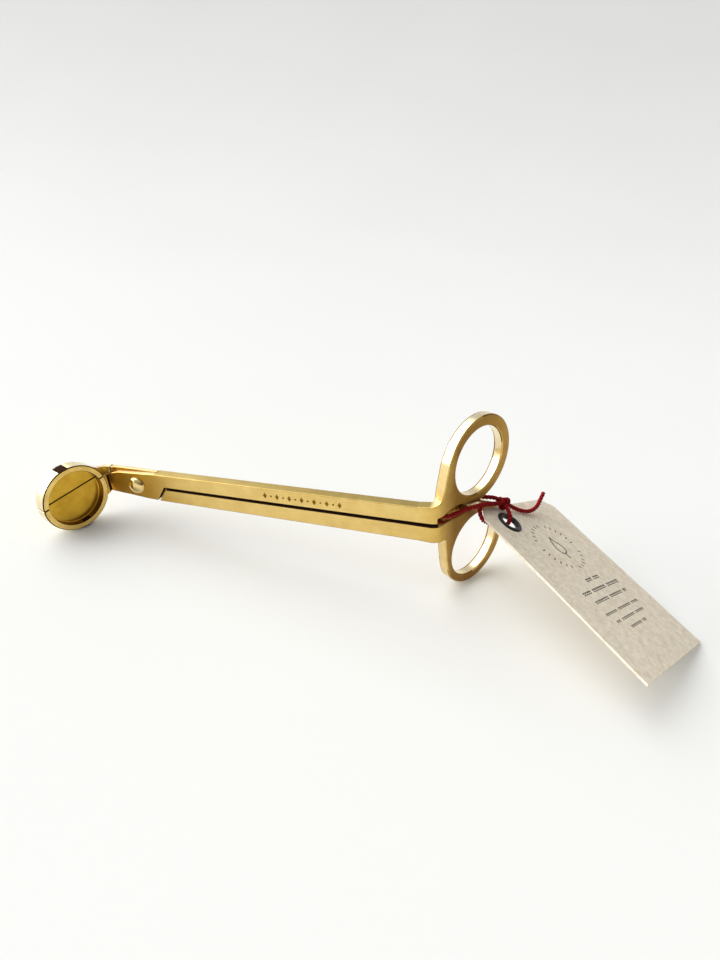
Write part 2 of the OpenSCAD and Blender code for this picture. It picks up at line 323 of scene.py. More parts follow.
def slice_across(obj, cuts, axis):
    """Adds straight cross-cuts, so that the piece can bend there."""
    normal = Vector((1, 0, 0)) if axis == "x" else Vector((0, 1, 0))
    with editing(obj) as bm:
        for cut in cuts:
            geometry = bm.verts[:] + bm.edges[:] + bm.faces[:]
            bmesh.ops.bisect_plane(bm, geom=geometry, plane_co=normal * cut, plane_no=normal, dist=0.0005)


def revolve(name, profile, steps=PAN_STEPS):
    """A closed solid turned about the z axis; its profile of (radius, height) starts and ends there."""
    points = [(0, 0, profile[0][1])]
    inner = profile[1:-1]
    for radius, height in inner:
        turns = [tau * k / steps for k in range(steps)]
        points += [(radius * cos(a), radius * sin(a), height) for a in turns]
    points.append((0, 0, profile[-1][1]))
    last = len(points) - 1
    faces = [[0, 1 + (k + 1) % steps, 1 + k] for k in range(steps)]
    for i in range(len(inner) - 1):
        a, b = 1 + i * steps, 1 + (i + 1) * steps
        faces += [[a + k, a + (k + 1) % steps, b + (k + 1) % steps, b + k] for k in range(steps)]
    top = 1 + (len(inner) - 1) * steps
    faces += [[top + k, top + (k + 1) % steps, last] for k in range(steps)]
    return mesh_object(name, points, faces)


def ring_solid(name, profile, steps):
    """A closed ring turned about the z axis from a closed profile of (radius, height)."""
    points = []
    for k in range(steps):
        turn = tau * k / steps
        points += [(r * cos(turn), r * sin(turn), h) for r, h in profile]
    n = len(profile)
    faces = []
    for k in range(steps):
        a, b = k * n, (k + 1) % steps * n
        faces += [[a + i, b + i, b + (i + 1) % n, a + (i + 1) % n] for i in range(n)]
    return mesh_object(name, points, faces)


def carry(obj, place):
    """Moves every vertex through a function of its coordinates, which gives its place in the frame."""
    for vertex in obj.data.vertices:
        vertex.co = place(*vertex.co)
    turn_out(obj)


def grain_map(obj, grain):
    """A UV layer in metres, along and across the brushing, from the mesh's own coordinates."""
    layer = obj.data.uv_layers.new(name="grain")
    for loop in obj.data.loops:
        along, across = grain(obj.data.vertices[loop.vertex_index].co)
        layer.data[loop.index].uv = (along * MM, across * MM)


def paint(obj, materials, choose):
    """Gives every face the material of the list that choose(face) returns."""
    for face in obj.data.polygons:
        face.material_index = materials.index(choose(face))


def finish_piece(obj, body, materials, replaced=(), weighted=True):
    """Smooth shading, materials, and the piece's place in the frame."""
    # Clearing the materials also resets the faces' choice among them, so that is kept and put back.
    painted = [face.material_index for face in obj.data.polygons]
    obj.data.materials.clear()
    for material in materials:
        obj.data.materials.append(material)
    obj.data.polygons.foreach_set("material_index", painted)
    obj.data.polygons.foreach_set("use_smooth", [True] * len(obj.data.polygons))
    if weighted:
        modifier = obj.modifiers.new("flat faces", "WEIGHTED_NORMAL")
        modifier.weight = 60
        modifier.keep_sharp = True
    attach(obj, body)
    if replaced:
        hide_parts(*replaced)
    return obj


# ---------------------------------------------------------------------------------------------
# Materials
# ---------------------------------------------------------------------------------------------
def new_material(name):
    """A material, its node tree and its surface shader."""
    material = bpy.data.materials.new(name)
    material.use_nodes = True
    tree = material.node_tree
    return material, tree, tree.nodes["Principled BSDF"]


def fill(tree, made, **sockets):
    """Gives sockets, by name or as _number, a constant each or another node's output to link."""
    for key, value in sockets.items():
        socket = made.inputs[int(key[1:]) if key[1:].isdigit() else key.replace("_", " ")]
        if isinstance(value, bpy.types.NodeSocket):
            tree.links.new(value, socket)
        else:
            socket.default_value = value


def node(tree, kind, options=None, **sockets):
    """A shader node with its options set and its sockets filled."""
    made = tree.nodes.new(kind)
    for key, value in (options or {}).items():
        setattr(made, key, value)
    fill(tree, made, **sockets)
    return made


def noise_of(tree, vector, scale, detail=4.0, rough=0.5):
    """Grey noise at a scale, with fine detail on top."""
    made = node(tree, "ShaderNodeTexNoise", Vector=vector, Scale=scale, Detail=detail, Roughness=rough)
    return made.outputs["Fac"]


def object_place(tree):
    """Where a point is on its own object."""
    return node(tree, "ShaderNodeTexCoord").outputs["Object"]


def added(tree, first, second):
    """The sum of two numbers."""
    return node(tree, "ShaderNodeMath", {"operation": "ADD"}, _0=first, _1=second).outputs[0]


def grey_of(tree, value):
    """A grey colour from a number."""
    return node(tree, "ShaderNodeCombineXYZ", X=value, Y=value, Z=value).outputs["Vector"]


def bumped(tree, height, strength, distance, below=None):
    """A surface raised by a height, on top of another one."""
    under = {"Normal": below} if below else {}
    made = node(tree, "ShaderNodeBump", Height=height, Strength=strength, Distance=distance, **under)
    return made.outputs[0]


def stretched(tree, vector, scale):
    """A vector scaled along each of its axes."""
    return node(tree, "ShaderNodeMapping", Vector=vector, Scale=scale).outputs["Vector"]


def ranged(tree, value, low, high, to_low, to_high):
    """A number carried from one range to another, and held at its ends."""
    made = node(tree, "ShaderNodeMapRange", _0=value, _1=low, _2=high, _3=to_low, _4=to_high)
    return made.outputs["Result"]


def mixed(tree, factor, first, second, blend="MIX"):
    """Two colours mixed by a factor."""
    options = {"data_type": "RGBA", "blend_type": blend}
    return node(tree, "ShaderNodeMix", options, _0=factor, _6=first, _7=second).outputs[2]


def paint_shading_along(tree, along, colour, shading_stops):
    """Multiplies a colour by painted shading stops at places, in millimetres along the grain."""
    low, high = shading_stops[0][0], shading_stops[-1][0]
    ramp = tree.nodes.new("ShaderNodeValToRGB")
    tree.links.new(ranged(tree, along, low * MM, high * MM, 0.0, 1.0), ramp.inputs[0])
    spots = ramp.color_ramp.elements
    while len(spots) < len(shading_stops):
        spots.new(0.5)
    for spot, (place, tone) in zip(spots, shading_stops):
        spot.position = (place - low) / (high - low)
        spot.color = (*tone, 1)
    return mixed(tree, 1.0, colour, ramp.outputs[0], "MULTIPLY")


def brass(name, light, dark, smooth, rough, streak, shading_stops=None):
    """Brushed brass: streaks along the grain, blotches of tarnish, pits as fine as the eye sees, and
    painted shading along the grain where shading stops are given.
    """
    material, tree, shader = new_material(name)
    place = object_place(tree)
    grain = node(tree, "ShaderNodeUVMap", {"uv_map": "grain"}).outputs["UV"]
    streaks = noise_of(tree, stretched(tree, grain, (110, 5200, 1)), 1.0, 3.0, 0.6)
    bands = noise_of(tree, stretched(tree, grain, (22, 900, 1)), 1.0, 2.0)
    blotches = noise_of(tree, place, 95.0, 5.0, 0.62)
    pits = noise_of(tree, place, 2600.0, 2.0)
    colour = mixed(tree, ranged(tree, blotches, 0.34, 0.68, 0.0, 1.0), dark, light)
    # Painted shading: the colour is darkened at the given places along the grain.
    if shading_stops:
        along = node(tree, "ShaderNodeSeparateXYZ", Vector=grain).outputs["X"]
        colour = paint_shading_along(tree, along, colour, shading_stops)
    shade = ranged(tree, streaks, 0.2, 0.8, 1.0 - 0.16 * streak, 1.0 + 0.1 * streak)
    base = mixed(tree, 1.0, colour, grey_of(tree, shade), "MULTIPLY")
    worn = ranged(tree, blotches, 0.3, 0.7, rough, smooth)
    combed = ranged(tree, bands, 0.3, 0.7, -0.05, 0.06)
    first = bumped(tree, streaks, 0.35 * streak, 0.00003)
    second = bumped(tree, pits, 0.2, 0.00002, first)
    third = bumped(tree, blotches, 0.25, 0.00012, second)
    fill(tree, shader, Base_Color=base, Metallic=1.0, Roughness=added(tree, worn, combed), Normal=third)
    return material


def paper(name):
    """Handmade paper: pulp mottling, tangled fibres of two sizes, and a matt dented surface."""
    material, tree, shader = new_material(name)
    place = object_place(tree)
    pulp = noise_of(tree, place, 420.0, 6.0, 0.65)
    cloud = noise_of(tree, place, 60.0, 3.0)
    warped = node(tree, "ShaderNodeTexNoise", Vector=place, Scale=160.0, Detail=2.0).outputs["Color"]
    bent = mixed(tree, 0.012, place, warped)
    web = {"feature": "DISTANCE_TO_EDGE"}
    fibres = node(tree, "ShaderNodeTexVoronoi", web, Vector=bent, Scale=330.0)
    threads = ranged(tree, fibres.outputs["Distance"], 0.0, 0.07, 1.0, 0.0)
    coarse = node(tree, "ShaderNodeTexVoronoi", web, Vector=bent, Scale=130.0)
    strands = ranged(tree, coarse.outputs["Distance"], 0.0, 0.035, 1.0, 0.0)
    pulped = ranged(tree, pulp, 0.3, 0.7, 0.0, 1.0)
    base = mixed(tree, pulped, (0.72, 0.61, 0.47, 1), (0.94, 0.87, 0.73, 1))
    clouded = ranged(tree, cloud, 0.35, 0.7, 0.0, 0.35)
    base = mixed(tree, clouded, base, (0.84, 0.72, 0.56, 1))
    threaded = ranged(tree, threads, 0.0, 1.0, 0.0, 0.25)
    base = mixed(tree, threaded, base, (0.96, 0.92, 0.84, 1))
    stranded = ranged(tree, strands, 0.0, 1.0, 0.0, 0.3)
    base = mixed(tree, stranded, base, (0.52, 0.43, 0.32, 1))
    dents = bumped(tree, threads, 0.5, 0.00008, bumped(tree, pulp, 0.8, 0.00025))
    fill(tree, shader, Base_Color=base, Roughness=0.9, Specular_IOR_Level=0.2, Normal=dents)
    return material


def ink(name):
    """Black print that has soaked unevenly into the paper."""
    material, tree, shader = new_material(name)
    place = object_place(tree)
    soak = noise_of(tree, place, 1900.0, 4.0, 0.7)
    thin = ranged(tree, soak, 0.45, 0.75, 0.0, 0.6)
    colour = mixed(tree, thin, (0.018, 0.016, 0.014, 1), (0.12, 0.10, 0.08, 1))
    worn = ranged(tree, soak, 0.3, 0.7, 0.7, 0.9)
    fill(tree, shader, Base_Color=colour, Roughness=worn, Normal=bumped(tree, soak, 0.4, 0.00005))
    return material


def painted_shade_matt(name, colour):
    """Matt near-black, painted deep shade in corners, slits and creases."""
    material, tree, shader = new_material(name)
    fill(tree, shader, Base_Color=colour, Roughness=0.9, Specular_IOR_Level=0.08)
    return material


def lacquer(name):
    """Black lacquered metal, rubbed a little at the rim."""
    material, tree, shader = new_material(name)
    place = object_place(tree)
    smear = noise_of(tree, place, 700.0, 4.0, 0.6)
    chips = noise_of(tree, place, 2400.0, 3.0, 0.7)
    rubbed = ranged(tree, chips, 0.62, 0.72, 0.0, 0.7)
    colour = mixed(tree, rubbed, (0.012, 0.011, 0.011, 1), (0.09, 0.075, 0.06, 1))
    worn = ranged(tree, smear, 0.3, 0.7, 0.24, 0.45)
    fill(tree, shader, Base_Color=colour, Roughness=worn, Specular_IOR_Level=0.3,
         Normal=bumped(tree, smear, 0.3, 0.00004))
    return material


def cotton(name, bright, dye_and_groove_shade):
    """Dyed twisted cotton: fibres along the plies, painted shade in the grooves between them, painted
    highlights on the fibres, and blotches of darker dye.
    """
    material, tree, shader = new_material(name)
    place = object_place(tree)
    grain = node(tree, "ShaderNodeUVMap", {"uv_map": "grain"}).outputs["UV"]
    crest = node(tree, "ShaderNodeAttribute", {"attribute_name": "crest"}).outputs["Fac"]
    fibre = noise_of(tree, stretched(tree, grain, (900, 9000, 1)), 1.0, 3.0, 0.6)
    dye = noise_of(tree, place, 500.0, 3.0)
    # Painted shade: the colour runs from the lit crests of the plies to dark in the grooves between them.
    colour = mixed(tree, ranged(tree, crest, 0.1, 0.9, 0.0, 1.0), dye_and_groove_shade, bright)
    # Blotches of darker dye.
    colour = mixed(tree, ranged(tree, dye, 0.3, 0.7, 0.0, 0.35), colour, dye_and_groove_shade)
    # Painted highlights: paler red streaks along the fibres.
    colour = mixed(tree, ranged(tree, fibre, 0.5, 0.8, 0.0, 0.3), colour, (0.50, 0.012, 0.014, 1))
    worn = ranged(tree, fibre, 0.3, 0.7, 0.6, 0.85)
    fill(tree, shader, Base_Color=colour, Roughness=worn, Specular_IOR_Level=0.2, Sheen_Weight=0.06,
         Sheen_Roughness=0.4, Sheen_Tint=(1.0, 0.45, 0.4, 1), Normal=bumped(tree, fibre, 0.7, 0.00008))
    return material


def seamless(name):
    """Matt off-white paper sweep, darkened with distance by painted shade."""
    material, tree, shader = new_material(name)
    place = object_place(tree)
    cloud = noise_of(tree, place, 3.0, 2.0)
    clouded = ranged(tree, cloud, 0.3, 0.7, 0.0, 1.0)
    colour = mixed(tree, clouded, (0.855, 0.86, 0.85, 1), (0.875, 0.88, 0.87, 1))
    # Painted shade: the sweep darkens further back.
    depth = node(tree, "ShaderNodeSeparateXYZ", Vector=place).outputs["Y"]
    shade = ranged(tree, depth, 0.05, 1.6, 1.0, 0.80)
    base = mixed(tree, 1.0, colour, grey_of(tree, shade), "MULTIPLY")
    fill(tree, shader, Base_Color=base, Roughness=0.75, Specular_IOR_Level=0.25)
    return material


# Places in millimetres along the flat lever, from the shoulder to the ring's end, and the painted shading
# there: painted shade at the shoulder and on the rings' fronts, full brightness along the arm.
LEVER_PAINTED_SHADING = [
    (-14, (0.62, 0.46, 0.12)), (6, (0.70, 0.56, 0.26)), (20, (0.96, 0.93, 0.84)),
    (40, (1.0, 1.0, 1.0)), (118, (1.0, 1.0, 1.0)), (127, (0.90, 0.84, 0.66)),
    (136, (0.34, 0.24, 0.09)), (152, (0.36, 0.26, 0.09)), (170, (0.58, 0.46, 0.20)),
]
BRASS_FACE = brass("brass_face", (0.88, 0.65, 0.24, 1), (0.78, 0.54, 0.17, 1), 0.32, 0.42, 1.0,
                   shading_stops=LEVER_PAINTED_SHADING)
BRASS_WALL = brass("brass_wall", (0.92, 0.73, 0.38, 1), (0.80, 0.57, 0.24, 1), 0.20, 0.32, 0.6)
BRASS_EDGE = brass("brass_edge", (0.82, 0.58, 0.20, 1), (0.62, 0.40, 0.10, 1), 0.16, 0.28, 0.3)
# The pan's brass is darker and more saturated than the levers': painted shade for its dim reflection.
BRASS_PAN = brass("brass_pan", (0.80, 0.50, 0.065, 1), (0.60, 0.33, 0.025, 1), 0.28, 0.42, 0.9)
# Painted shade: dark brass for recesses and for faces turned away from the light.
BRASS_PAINTED_SHADE = brass("brass_painted_shade", (0.36, 0.18, 0.025, 1), (0.20, 0.09, 0.010, 1), 0.26, 0.36, 0.5)
BRASS_RIM = brass("brass_rim", (0.88, 0.64, 0.22, 1), (0.72, 0.47, 0.12, 1), 0.20, 0.32, 0.5)
BRASS_RIVET = brass("brass_rivet", (0.90, 0.70, 0.32, 1), (0.80, 0.58, 0.22, 1), 0.10, 0.20, 0.3)
# Painted shade: dim olive brass for the top of the arm.
BRASS_PAINTED_TOP_SHADE = brass("brass_painted_top_shade", (0.52, 0.39, 0.13, 1), (0.40, 0.28, 0.08, 1), 0.28, 0.40, 0.8)
# Painted highlight: pale brass for walls that face the bright window.
BRASS_PAINTED_HIGHLIGHT = brass("brass_painted_highlight", (0.95, 0.86, 0.62, 1), (0.88, 0.72, 0.42, 1), 0.18, 0.30, 0.5)
# Painted deep shade: near-black for the slit, the shoulder's step, the neck seam and fold, the pan's cut
# and the dark lines along its rim.
BRASS_PAINTED_DEEP_SHADE = painted_shade_matt("brass_painted_deep_shade", (0.030, 0.010, 0.004, 1))
LEVER_BRASS = [BRASS_FACE, BRASS_WALL, BRASS_EDGE, BRASS_PAINTED_DEEP_SHADE, BRASS_PAINTED_SHADE, BRASS_PAINTED_TOP_SHADE, BRASS_PAINTED_HIGHLIGHT]
PAN_BRASS = [BRASS_PAN, BRASS_RIM, BRASS_PAINTED_DEEP_SHADE, BRASS_PAINTED_SHADE, BRASS_PAINTED_HIGHLIGHT]
PAPER = paper("tag_paper")
INK = ink("tag_ink")
LACQUER = lacquer("eyelet_lacquer")
# Bright red for the plies' crests; the dark red serves both for painted shade in the grooves and for dye
# blotches.
COTTON = cotton("red_cotton", (0.40, 0.003, 0.006, 1), (0.10, 0.0008, 0.002, 1))


# ---------------------------------------------------------------------------------------------
# String and knot. The routes repeat those of the CAD model, in millimetres.
# ---------------------------------------------------------------------------------------------
RING_ROUTE = [
    (33.9, -3.5, 3.2), (29.2, -1.9, 2.6), (24, -0.1, 2.3), (18, 0.9, 1.4), (12, 1.6, 0.7),
    (7.3, 1.9, 0.3), (5.1, 2.1, -0.6), (4.2, 2.3, -2.8), (5.1, 2.5, -5), (7.3, 2.6, -5.9),
    (13, 2, -6.3), (19, 1.2, -6.1), (24.8, 0.4, -5.3), (28, -0.5, -3.3), (30.3, -0.9, -1.2),
    (32.6, -1.5, 0.4), (34.7, -2.9, 1.6),
]
EYELET_ROUTE = [
    (13.7, 82.8, 2.5), (9.5, 83.4, 2.2), (5.2, 83.6, 2.1), (2.3, 82.7, 1.5), (1.4, 80.9, 0.1),
    (2.6, 79.2, -1.4), (5.2, 78.2, -2.2), (8.2, 77.1, -2.6), (10.4, 75.8, -2.6), (12, 74.6, -1.7),
    (12.8, 74.1, 0.2),
    (13.1, 74.8, 2.3), (13.8, 76.7, 3.3), (15.3, 79.5, 3.6),
]
FREE_ROUTE = [
    (18.4, 81.2, 3.2), (21.5, 79.4, 2.5), (25, 77.9, 2), (28.4, 76.6, 2.1), (32.5, 76.3, 2.6),
    (36.2, 77, 3.9), (39, 78.6, 5.9), (40.8, 80, 8.6),
]


def through(route, per_span):
    """A smooth line through all the points of a route."""
    line = []
    for i in range(len(route) - 1):
        a, b = route[max(i - 1, 0)], route[i]
        c, d = route[i + 1], route[min(i + 2, len(route) - 1)]
        for k in range(per_span):
            t = k / per_span
            line.append(0.5 * (2 * b + (c - a) * t + (2 * a - 5 * b + 4 * c - d) * t * t
                               + (3 * b - a - 3 * c + d) * t * t * t))
    return line + [route[-1]]


def even(line, step):
    """The same line with points a step apart."""
    out = [line[0]]
    carried = 0.0
    for a, b in zip(line, line[1:]):
        length = (b - a).length
        while carried + length >= step:
            a = a + (b - a) * ((step - carried) / length)
            length = (b - a).length
            out.append(a)
            carried = 0.0
        carried += length
    return out


def ply_radius(around):
    """Outline of a bundle of three round plies at an angle about its centre; its crests reach 1."""
    plies, offset, ply = 3, 0.46, 0.54
    off_crest = (around + pi / plies) % (tau / plies) - pi / plies
    return offset * cos(off_crest) + sqrt(ply * ply - (offset * sin(off_crest)) ** 2)


def rope(name, line, outer, closed=False):
    """Three twisted plies as one closed skin along a line of points, with its grain and crest height."""
    count, sides, lay = len(line), 24, STRING_LAY * MM
    points, crests, grains = [], [], []
    side = None
    travelled = 0.0
    for i, here in enumerate(line):
        before, after = line[max(i - 1, 0)], line[min(i + 1, count - 1)]
        heading = (after - before).normalized()
        side = heading.orthogonal() if side is None else side
        side = (side - heading * side.dot(heading)).normalized()
        up = heading.cross(side)
        travelled += (here - line[i - 1]).length if i else 0.0
        twist = tau * travelled / lay
        end = min(i, count - 1 - i)
        taper = 1.0 if closed else (0.55, 0.85, 0.96, 1.0)[min(end, 3)]
        for k in range(sides):
            around = tau * k / sides
            radius = outer * taper * ply_radius(around)
            points.append(here + (side * cos(around + twist) + up * sin(around + twist)) * radius)
            crests.append((ply_radius(around) - 0.62) / 0.38)
            grains.append((travelled, outer * around))
    faces = []
    for i in range(count - 1):
        a, b = i * sides, (i + 1) * sides
        faces += [[a + k, a + (k + 1) % sides, b + (k + 1) % sides, b + k] for k in range(sides)]
    faces += [list(range(sides))[::-1], [(count - 1) * sides + k for k in range(sides)]]
    obj = mesh_object(name, points, faces)
    attribute = obj.data.attributes.new("crest", "FLOAT", "POINT")
    attribute.data.foreach_set("value", crests)
    layer = obj.data.uv_layers.new(name="grain")
    for loop in obj.data.loops:
        layer.data[loop.index].uv = grains[loop.vertex_index]
    return obj


def make_string():
    """The whole string: free end, through the knot, round the handles, and round to the eyelet."""
    knot = tag_plane(*KNOT_AT)
    lift = TAG_TURN @ Vector((0, 0, 1)) * MM
    free = [tag_plane(*p) for p in reversed(FREE_ROUTE)]
    ring_loop = [handle_plane(*p) for p in RING_ROUTE]
    eyelet_loop = [tag_plane(*p) for p in reversed(EYELET_ROUTE)]
    route = free + [knot + lift * 0.5] + ring_loop + [knot - lift * 0.2]
    route += eyelet_loop + [knot - lift * 0.6]
    line = even(through(route, 12), STRING_STEP * MM)
    string = rope("tie_string", line, STRING_CREST * MM)
    finish_piece(string, "lower_half", [COTTON],
                 ["string_ring_loop", "string_eyelet_loop", "string_free_end"], weighted=False)
    length = sum((b - a).length for a, b in zip(line, line[1:]))
    return string, line, length


def make_knot():
    """An overhand knot pulled tight: a trefoil of the same string, facing up and forward."""
    knot = tag_plane(*KNOT_AT)
    facing = Matrix((ALONG, UP, FRONT)).transposed() @ Matrix.Rotation(radians(-35), 3, "X")
    line = []
    for k in range(KNOT_POINTS):
        t = tau * k / KNOT_POINTS
        point = Vector((sin(t) + 2 * sin(2 * t), cos(t) - 2 * cos(2 * t), -1.25 * sin(3 * t)))
        line.append(knot + facing @ point * KNOT_SCALE * MM)
    obj = rope("knot", [*line, line[0]], KNOT_CREST * MM, closed=True)
    return finish_piece(obj, "lower_half", [COTTON], ["string_knot"], weighted=False)


string, string_line, string_length = make_string()
knot = make_knot()


# ---------------------------------------------------------------------------------------------
# Levers
# ---------------------------------------------------------------------------------------------
def upper_outline():
    """The whole upper lever, laid flat: front lap, arm, web and ring."""
    lap = [(NECK_START - 0.3, -4.4), (-5, -5.1, 8), (4.5, -6.0, 8), (9.05, -6.15, 0.4),
           (13.3, 0.4, 0.3), (16, 0.42, 3)]
    arm = [(HANDLE_START - 12, 0.5, 5), (HANDLE_STEP, 0.6, 0.4), (HANDLE_STEP, 2.9, 0.5),
           (HANDLE_FLAT + 7, 4.3, 5)]
    top = [(HANDLE_START - 5, 7.3, 6), (9, 6.24, 6), (-9, 5.2, 6), (-11.8, 4.4, 4),
           (NECK_START - 0.3, 3.2)]
    x, y = HANDLE_FLAT + RING_REACH + 0.45, RING_OFFSET + 0.15
    ring = arc(x, y, RING_RADIUS + 0.55, -124, 150)
    side = [(HANDLE_FLAT + 5.4, 23.5, 6), (HANDLE_FLAT + 3.6, 16, 14),
            (HANDLE_START + 2.2, 8.2, 3.4)]
    return rounded(lap + arm + ring + side + top)


def lower_outline():
    """The whole lower lever, laid flat: rear lap, arm, web and ring."""
    lap = [(NECK_START - 0.3, 6.0), (-9, 6.1, 6), (0, 6.15, 8), (9.25, 6.15, 0.4),
           (13.7, -0.4, 0.3), (16, -0.42, 3)]
    arm = [(HANDLE_START - 12, -0.5, 5), (HANDLE_START, -0.6, 6), (HANDLE_STEP + 0.1, -0.6),
           (HANDLE_STEP + 1.1, -0.6), (HANDLE_FLAT + 5, -0.58), (HANDLE_FLAT + 9, -0.55),
           (HANDLE_FLAT + 14, -0.65), (HANDLE_FLAT + 19, -0.8)]
    x, y = HANDLE_FLAT + RING_REACH + 0.5, 0.2 - RING_OFFSET
    ring = arc(x, y, RING_RADIUS + 0.25, 93, -150)
    side = [(HANDLE_FLAT + 6.6, -23.5, 6), (HANDLE_FLAT + 5.5, -16, 10),
            (HANDLE_FLAT + 4.6, -7.9, 0.8)]
    bottom = [(HANDLE_START - 5, -7.3, 6), (9, -6.24, 6), (2, -5.6, 5), (-7, -4.2, 5),
              (-11, -1.5, 4), (NECK_START - 0.3, 2.4)]
    return rounded(lap + arm + ring + side + bottom)


def mark_cutters():
    """A row of lozenges and dots between them, to be punched into the upper arm's front face."""
    cutters = []
    for i in range(MARK_COUNT):
        x, y = MARKS_START + MARKS_STEP * i, MARKS_HEIGHT
        if i % 2:
            cutters.append(prism("dot", arc(x, y, 0.42, 0, 360, 30)[:-1], -MARK_DEPTH, 1))
        else:
            lozenge = [(x + 0.85, y), (x, y + 1.3), (x - 0.85, y), (x, y - 1.3)]
            cutters.append(prism("lozenge", lozenge, -MARK_DEPTH, 1))
    return cutters


def edge_weight(point):
    """Rings are more rounded than arms, most of all at the back."""
    on_ring = min(1.0, max(0.0, (point.x - HANDLE_START - 3) / 10))
    return 0.3 + (0.7 if point.z < -PLATE / 2 else 0.2) * on_ring


def lever_brass(face):
    """The brass of a face of the flat lever: painted deep shade in the slit, at the shoulder and along
    the neck seam, painted shade in the marks and on dull rounded edges that look down or back, an olive
    painted shade on top of the arm, and a painted highlight on the walls of the ring.
    """
    x, y, z = face.center
    tall = abs(face.normal.z)
    # Painted deep shade in the slit between the levers, at the shoulder's step and along the neck seam.
    slit = tall < 0.97 and 9 < x < HANDLE_START + 2 and abs(y) < 0.9
    shoulder = tall < 0.5 and 9.3 < x < 14.2 and 0.3 < abs(face.normal.x) and face.normal.x > -0.9
    if slit or shoulder or x < NECK_START + SEAM:
        return BRASS_PAINTED_DEEP_SHADE
    # Painted shade in the punched marks.
    if -MARK_DEPTH - 0.01 < z < -0.05 and 58 < x < 94 and 1.5 < y < 5.5:
        return BRASS_PAINTED_SHADE
    if x < NECK_START + 3 * SEAM:
        return BRASS_EDGE
    # Painted shade on top of the arm.
    if face.normal.y > 0.8 and y > 4 and 12 < x < HANDLE_START - 1:
        return BRASS_PAINTED_TOP_SHADE
    if tall > 0.97:
        return BRASS_FACE
    on_ring = x > HANDLE_FLAT + 8
    # Painted highlight on the walls of the ring; the arm's walls get the wall brass.
    if tall < 0.2:
        return BRASS_PAINTED_HIGHLIGHT if on_ring else BRASS_WALL
    # Painted shade on rounded edges that look down or back, and on the ring's far side.
    painted_shade_side = z < -PLATE / 2 or face.normal.y < -0.2 or (on_ring and face.normal.x > 0)
    return BRASS_PAINTED_SHADE if painted_shade_side else BRASS_EDGE


def web_draft(along):
    """How far the back of the lower web rises above its front edge."""
    for (start, low), (end, high) in zip(WEB_DRAFTS, WEB_DRAFTS[1:]):
        if start <= along < end:
            return low + (high - low) * (along - start) / (end - start)
    return 0.0


def lever(name, outline, cutter, hole_y, body, replaced, marks=False):
    """One casting: full plate, half-thickness lap, finger hole and pivot hole, rounded and bent."""
    obj = prism(name, outline, -PLATE, 0)
    for vertex in obj.data.vertices:
        if vertex.co.z < -1 and -0.9 < vertex.co.y < 0:
            vertex.co.y += web_draft(vertex.co.x - HANDLE_START - HANDLE_ARC / 2 - 0.1)
    combine(obj, cutter, "DIFFERENCE")
    hole = arc(HANDLE_FLAT + RING_REACH, hole_y, FINGER_RADIUS, 0, 360, 3)[:-1]
    combine(obj, prism("finger_hole", hole, -PLATE - 1, 1), "DIFFERENCE")
    bore = arc(0, 0, PIVOT_HOLE, 0, 360, 9)[:-1]
    combine(obj, prism("pivot_hole", bore, -PLATE - 1, 1), "DIFFERENCE")
    soften(obj, 1.0, edge_weight)
    if marks:
        for mark in mark_cutters():
            combine(obj, mark, "DIFFERENCE")
    cuts = [HANDLE_START + HANDLE_ARC * k / BEND_STEPS for k in range(BEND_STEPS + 1)]
    slice_across(obj, [NECK_START + SEAM, NECK_START + 3 * SEAM, *cuts], "x")
    paint(obj, LEVER_BRASS, lever_brass)
    grain_map(obj, lambda p: (p.x, p.y + 0.7 * p.z))
    carry(obj, flat_lever)
    return finish_piece(obj, body, LEVER_BRASS, replaced)


rear_corners = [(-20, -10), (21.2, -10), (6.95, 10), (-20, 10)]
rear_half = prism("rear_half", rear_corners, -PLATE - 1, -LAP)
front_corners = [(-20, 10), (21.2, 10), (7.15, -10), (-20, -10)]
front_half = prism("front_half", front_corners, LAP - PLATE, 1)
lever("upper_lever", upper_outline(), rear_half, RING_OFFSET, "upper_half",
      ["upper_arm", "upper_ring"], marks=True)
lever("lower_lever", lower_outline(), front_half, -RING_OFFSET, "lower_half",
      ["lower_arm", "lower_ring"])


# ---------------------------------------------------------------------------------------------
# Pan
# ---------------------------------------------------------------------------------------------
def quarter(r, h, radius, start, end):
    """Points of a rounded corner in a turned profile."""
    return arc(r, h, radius, start, end, 15)


def pan_profile(depth):
    """From the middle of the back, out, up the wall, over the rim and down to the floor's middle."""
    back, rim = PAN_PROUD - PAN_HEIGHT, PAN_PROUD
    floor = rim - depth
    wall_middle = (PAN_RADIUS + PAN_INNER) / 2
    profile = [(0, back), (5, back)] + quarter(PAN_RADIUS - 0.7, back + 0.7, 0.7, -90, 0)
    profile += [(PAN_RADIUS, -1)] + quarter(PAN_RADIUS - 0.45, rim - 0.45, 0.45, 0, 90)
    profile += [(wall_middle, rim)] + quarter(PAN_INNER + 0.3, rim - 0.3, 0.3, 90, 180)
    profile += quarter(PAN_INNER - 0.5, floor + 0.5, 0.5, 0, -90)
    return profile + [(8, floor), (4, floor - 0.02), (0, floor - 0.03)]


def neck_point(s, y, z):
    """A point of the flat neck pattern, carried round the neck bend into the pan's plane."""
    radius = NECK_INNER - z
    back = NECK_START - s
    if back <= 0:
        return shaft(s, y, z)
    if back < NECK_ARC:
        turn = back / NECK_ARC * PAN_BEND
        return shaft(NECK_START - radius * sin(turn), y, NECK_INNER - radius * cos(turn))
    return pan_plane(NECK_U + back - NECK_ARC, y, z)


